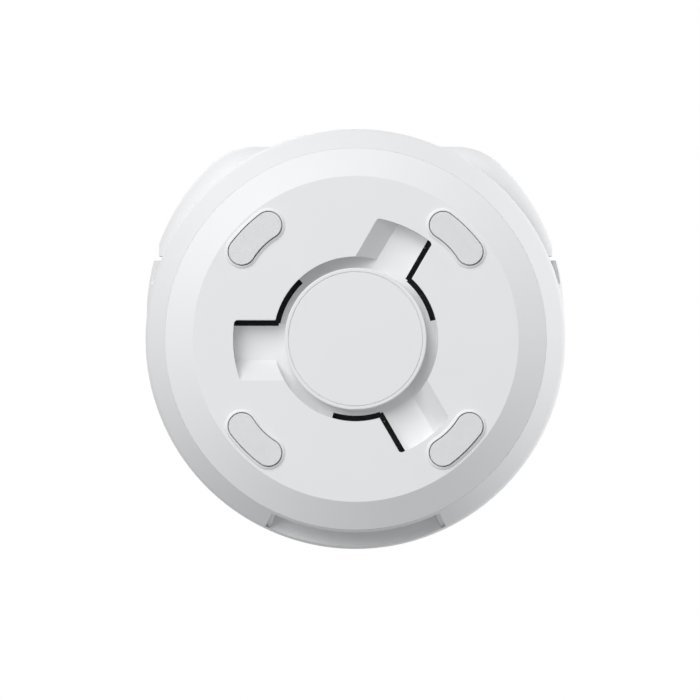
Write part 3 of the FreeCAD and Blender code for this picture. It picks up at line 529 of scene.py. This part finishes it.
def board_chips(finish):
    """Rows of small parts wherever the board's upper face is free, every other one turned a quarter."""
    pitch = 4.6 * MM
    size = (2.0 * MM, 1.25 * MM, 0.6 * MM)
    clearance = 1.6 * MM
    bare_rim = 3.0 * MM
    headroom = 1.0 * MM
    not_fitted = ("main_board", "base_ring", "base_plate", "chassis", "lower_shell", "front_cover")
    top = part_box("main_board")[1].z
    reach = width("main_board") / 2 - bare_rim
    boxes = [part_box(name) for name in frame["nodes"] if name not in not_fitted]
    fitted = [(low, high) for low, high in boxes if low.z < top + headroom and high.z > top]

    def free(x, y):
        """Inside the bare rim, and clear of every part that reaches the board's upper face."""
        for low, high in fitted:
            if low.x - clearance < x < high.x + clearance and low.y - clearance < y < high.y + clearance:
                return False
        return math.hypot(x, y) <= reach

    steps = int(reach / pitch)
    skins = []
    for row in range(-steps, steps + 1):
        for column in range(-steps, steps + 1):
            x = column * pitch
            y = row * pitch
            if free(x, y):
                turned = (row + column) % 2 == 1
                skins.append(soft_block((x, y, top + size[2] / 2), size, turned))
    build(skins, "board_chips", finish, "housing")


def dry_cell(node, finish, way):
    """Dry cell turned about its own axis: rounded shoulders, a crimped groove, a raised contact at one end.

    The profile runs along the axis as pairs of distance and radius, and each pair is carried once round.
    way is 1 where the contact points to +X, and -1 where it points to -X.
    """
    low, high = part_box(node)
    centre = middle(node)
    radius = (high.z - low.z) / 2
    nub = 1.2 * MM
    sides = 64
    length = (high.x - low.x) - nub
    tail = [
        (0.0, 0.0),
        (0.0, 0.80 * radius),
        (0.05 * MM, 0.86 * radius),
        (0.35 * MM, 0.97 * radius),
        (0.70 * MM, radius),
    ]
    groove = [
        (length - 2.6 * MM, radius),
        (length - 2.2 * MM, 0.975 * radius),
        (length - 1.8 * MM, 0.975 * radius),
        (length - 1.4 * MM, radius),
    ]
    shoulder = [
        (length - 0.5 * MM, radius),
        (length - 0.1 * MM, 0.95 * radius),
        (length, 0.88 * radius),
    ]
    contact = [
        (length, 0.38 * radius),
        (length + 0.2 * MM, 0.36 * radius),
        (length + nub - 0.2 * MM, 0.35 * radius),
        (length + nub, 0.30 * radius),
        (length + nub, 0.0),
    ]
    profile = np.array(tail + groove + shoulder + contact)
    turn = np.linspace(0.0, FULL_TURN, sides, endpoint=False)
    along = np.repeat(profile[:, :1], sides, 1)
    x = low.x + along if way > 0 else high.x - along
    y = centre.y + profile[:, 1:] * np.cos(turn * way)
    z = centre.z + profile[:, 1:] * np.sin(turn * way)
    piece = build([surface(np.stack([x, y, z], -1))], f"{node}_cell", finish, "drawer")
    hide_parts(node)


def return_spring(finish):
    """Steel wire carried round a helix that climbs evenly about the button's axis.

    Each ring of the wire lies square to the helix, on its outward and upward directions.
    """
    wire_radius = 0.3 * MM
    turns = 5
    rings_a_turn = 40
    sides = 12
    low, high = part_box("button_spring")
    height = high.z - low.z
    centre = middle("button_spring")
    coil_radius = width("button_spring") / 2 - wire_radius
    climb = height - 2.0 * wire_radius
    angle = np.linspace(0.0, FULL_TURN * turns, rings_a_turn * turns + 1)
    flat = np.zeros_like(angle)
    outward = np.stack([np.cos(angle), np.sin(angle), flat], -1)
    slope = climb / (angle[-1] * coil_radius)
    forward = np.stack([-np.sin(angle), np.cos(angle), flat + slope], -1)
    upward = np.cross(outward, forward / np.linalg.norm(forward, axis=1, keepdims=True))
    path = np.array([centre.x, centre.y, low.z + wire_radius]) + coil_radius * outward
    path[:, 2] += climb * angle / angle[-1]
    around = np.linspace(0.0, -FULL_TURN, sides, endpoint=False)[None, :, None]
    spokes = np.cos(around) * outward[:, None] + np.sin(around) * upward[:, None]
    rings = path[:, None] + wire_radius * spokes
    first, last = (np.repeat(path[end][None, None], sides, 1) for end in (0, -1))
    coil = surface(np.concatenate([first, rings, last]))
    piece = build([coil], "button_spring_coil", finish, "housing")
    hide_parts("button_spring")
    press = next(joint for joint in frame["joints"] if joint["name"] == "button_press")
    kept = 1.0 - press["range_m"][1] / height
    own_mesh(piece)


# ---------------------------------------------------------------- dressing the model

def dress(finish, *nodes):
    """Gives the finish to the named CAD nodes."""
    for name in nodes:
        slots = frame["nodes"][name].data.materials
        slots.clear()
        slots.append(finish.material)


def dress_casing():
    """Everything that is moulded: shells, feet, frames and the drawer's tray."""
    shells = ("base_plate", "centre_cap", "base_ring", "lower_shell", "front_cover", "battery_drawer")
    dress(white_plastic(), *shells)
    dress(button_plastic(), "test_button")
    dress(grey_plastic(), "chassis", "button_bezel", "sounder_horn")
    dress(dark_plastic(), "battery_tray", "chamber_base", "chamber_lid", "smoke_receiver")
    dress(pale_rubber(), "foot_right_rear", "foot_left_rear", "foot_left_front", "foot_right_front")


def dress_metalwork():
    """Screens, screws, the radio's can, the button's spring and the drawer's contacts."""
    dress(steel_mesh("steel_mesh", "insect_screen"), "insect_screen")
    dress(steel_mesh("chamber_mesh", "chamber_screen"), "chamber_screen")
    zinc = bright_metal("zinc_steel", roughness=0.26, spread=0.06, drawn=(1.0, 1.0, 0.15))
    dress(zinc, "housing_screws", "cover_screws", "button_clip", "radio_module")
    return_spring(bright_metal("spring_steel", roughness=0.18, spread=0.05, drawn=(0.3, 0.3, 1.0)))
    nickel = bright_metal("nickel_strip", roughness=0.2, spread=0.05, drawn=(0.2, 1.0, 1.0))
    dress(nickel, "contact_plates", "contact_springs")


def dress_electrics():
    """Cells, the board with its parts, the lamps and the sounder."""
    jacket = cell_jacket()
    dry_cell("battery_front", jacket, 1)
    dry_cell("battery_rear", jacket, -1)
    board_chips(ceramic_chip())
    dress(board_laminate(), "main_board")
    dress(chip_plastic(), "tact_switch", "processor_chip", "driver_chip")
    dress(connector_plastic(), "power_connector")
    dress(can_aluminium(), "capacitors")
    dress(clear_plastic(), "status_lamp", "light_pipe", "smoke_emitter")
    dress(sounder_brass(), "sounder_disc")
    dress(lead_insulation(), "sounder_leads")


# ---------------------------------------------------------------- studio

def floor():
    """Pale floor under the feet.

    It shows only from above, lets light from below through, and fades out far from the object.
    """
    half = FLOOR_SIZE / 2
    mesh = bpy.data.meshes.new("floor")
    corners = ((-half, -half, 0.0), (half, -half, 0.0), (half, half, 0.0), (-half, half, 0.0))
    mesh.from_pydata(corners, [], [(0, 1, 2, 3)])
    piece = bpy.data.objects.new("floor", mesh)
    bpy.context.scene.collection.objects.link(piece)
    finish = Finish("floor_paper")
    finish.feed("Base Color", finish.mottled(FLOOR_COLOR, 0.01, 60.0 * MM))
    finish.feed("Roughness", 0.8 + 0.1 * finish.noise(2.0 * MM))
    seen = finish.node("LightPath", "Is Camera Ray", {}, {})
    behind = finish.node("NewGeometry", "Backfacing", {}, {})
    faded = finish.distance(finish.place).above(FADE_MIDDLE * half, FADE_SOFTNESS * half)
    clear = finish.node("BsdfTransparent", 0, {}, {})
    paper = Value(finish, finish.shader.outputs[0])
    shown = seen * (1.0 - behind) * (1.0 - faded)
    mixed = finish.node("MixShader", 0, {}, {0: shown, 1: clear, 2: paper})
    finish.tree.links.new(mixed.socket, finish.output.inputs["Surface"])
    mesh.materials.append(finish.material)


def surroundings():
    """Soft even light from all round; white where the camera, gloss or glass looks at it."""
    world = bpy.data.worlds.new("surroundings")
    bpy.context.scene.world = world
    world.use_nodes = True
    tree = world.node_tree
    tree.nodes.clear()
    path = tree.nodes.new("ShaderNodeLightPath")
    output = tree.nodes.new("ShaderNodeOutputWorld")
    direct = path.outputs["Is Camera Ray"]
    for ray in ("Is Glossy Ray", "Is Transmission Ray"):
        either = tree.nodes.new("ShaderNodeMath")
        either.operation = "MAXIMUM"
        tree.links.new(direct, either.inputs[0])
        tree.links.new(path.outputs[ray], either.inputs[1])
        direct = either.outputs[0]
    choice = tree.nodes.new("ShaderNodeMixShader")
    for slot, (color, strength) in enumerate(((AMBIENT_COLOR, AMBIENT), (WHITE, 1.0)), 1):
        background = tree.nodes.new("ShaderNodeBackground")
        background.inputs["Color"].default_value = (*color, 1.0)
        background.inputs["Strength"].default_value = strength
        tree.links.new(background.outputs[0], choice.inputs[slot])
    tree.links.new(direct, choice.inputs[0])
    tree.links.new(choice.outputs[0], output.inputs["Surface"])


def lamps():
    """Square softboxes, each facing the middle of the object."""
    low, high = cad_box
    target = (Vector(low) + Vector(high)) / 2
    for name, (direction, distance, side, power, glossy) in LAMPS.items():
        light = bpy.data.lights.new(name, "AREA")
        light.size = side
        light.energy = power
        lamp = bpy.data.objects.new(name, light)
        towards = Vector(direction).normalized()
        lamp.location = target + towards * distance
        lamp.rotation_euler = towards.to_track_quat("Z", "Y").to_euler()
        lamp.visible_glossy = glossy
        bpy.context.scene.collection.objects.link(lamp)


def camera():
    """Looks straight up at the mounting side, with the drawer end at the top of the picture."""
    lens = bpy.data.cameras.new("camera")
    lens.lens = LENS
    lens.sensor_width = SENSOR
    lens.clip_end = FAR_CLIP
    eye = bpy.data.objects.new("camera", lens)
    distance = VIEW_WIDTH * LENS / SENSOR
    eye.location = (CAMERA_X, CAMERA_Y, VIEW_DEPTH - distance)
    eye.rotation_euler = (math.pi, 0.0, 0.0)
    bpy.context.scene.collection.objects.link(eye)
    bpy.context.scene.camera = eye


dress_casing()
dress_metalwork()
dress_electrics()
floor()
surroundings()
lamps()
camera()
bpy.context.scene.view_settings.view_transform = "Standard"
